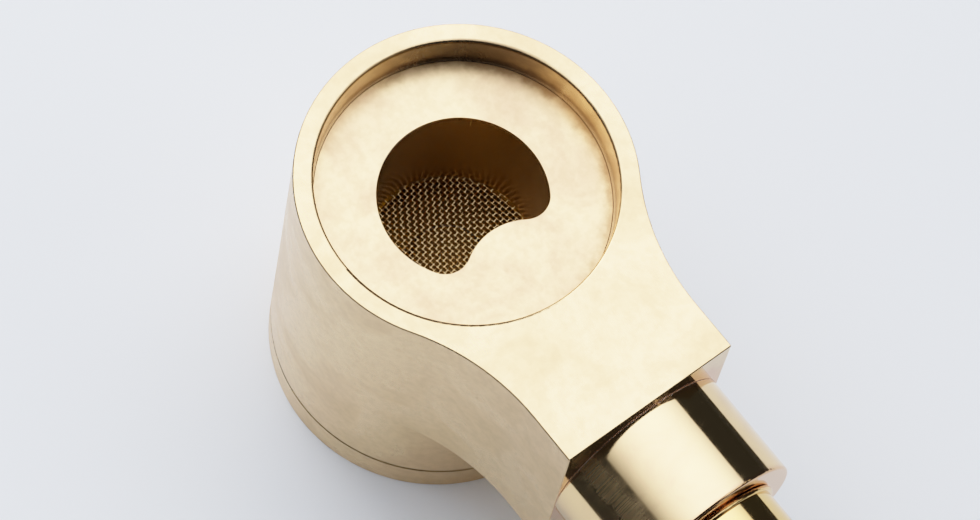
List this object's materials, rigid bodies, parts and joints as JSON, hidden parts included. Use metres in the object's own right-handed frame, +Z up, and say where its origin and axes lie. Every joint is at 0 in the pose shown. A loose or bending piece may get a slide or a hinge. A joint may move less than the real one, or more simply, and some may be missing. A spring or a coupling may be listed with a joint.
{
  "type": "water pressure regulator",
  "caption": "Brass inline water pressure regulator: round head with a recessed strainer port, flared side arm and a stepped swivelling outlet tube.",
  "frame": {"origin": "centre of the flat base of the round head", "axes": "+Z up the head's axis and out of the inlet socket, +X along the arm and out of the outlet tube"},
  "size_m": [0.082, 0.036, 0.0409],
  "materials": {
    "satin_brass": "fine satin, milled and lightly oxidised",
    "dark_brass": "turned, brown patina in the port",
    "polished_brass": "turned and polished",
    "wire_cloth": "plain woven wire cloth",
    "sintered_bronze": "porous sintered",
    "stainless_steel": "bright turned",
    "spring_steel": "drawn wire",
    "acetal": "machined acetal",
    "seal_rubber": "moulded nitrile rubber",
    "fibre_gasket": "pressed fibre"
  },
  "bodies": {
    "housing": {"regulator_body": "satin_brass", "base_cap": "satin_brass", "base_cap_o_ring": "seal_rubber", "vent_disc": "sintered_bronze", "seat_insert": "stainless_steel", "cup_dowel": "stainless_steel", "outlet_collar": "polished_brass", "collar_gasket": "fibre_gasket", "swivel_snap_ring": "spring_steel"},
    "strainer": {"strainer_cup": "dark_brass", "cup_o_ring": "seal_rubber", "strainer_screen": "wire_cloth", "screen_ring": "dark_brass"},
    "valve": {"valve_stem": "stainless_steel", "valve_poppet": "polished_brass", "poppet_seal": "seal_rubber", "piston": "acetal", "piston_o_ring": "seal_rubber", "stem_nut": "stainless_steel"},
    "adjuster": {"adjusting_screw": "stainless_steel", "adjuster_o_ring": "seal_rubber"},
    "spring_seat": {"spring_seat_nut": "dark_brass", "regulating_spring": "spring_steel"},
    "outlet_tube": {"outlet_spigot": "polished_brass", "spigot_o_ring_rear": "seal_rubber", "spigot_o_ring_front": "seal_rubber"}
  },
  "joints": [
    {"name": "strainer_lift", "type": "slide", "parent": "housing", "child": "strainer", "axis": [0, 0, 1], "range_m": [0, 0.024]},
    {"name": "valve_slide", "type": "slide", "parent": "housing", "child": "valve", "axis": [0, 0, -1], "range_m": [0, 0.0011], "stiffness_N_per_m": 2000, "springref_m": -0.003, "deforming": ["regulating_spring"]},
    {"name": "adjuster_turn", "type": "hinge", "parent": "housing", "child": "adjuster", "pos_m": [0, 0, 0.002], "axis": [0, 0, 1], "range_deg": [0, 541]},
    {"name": "spring_seat_slide", "type": "slide", "parent": "housing", "child": "spring_seat", "axis": [0, 0, 1], "range_m": [0, 0.0015]},
    {"name": "outlet_swivel", "type": "hinge", "parent": "housing", "child": "outlet_tube", "pos_m": [0.0423, 0, 0.0287], "axis": [1, 0, 0], "continuous": true}
  ],
  "couplings": [
    {"joint": "adjuster_turn", "follows": "spring_seat_slide", "rad_per_m": 6283.2}
  ]
}
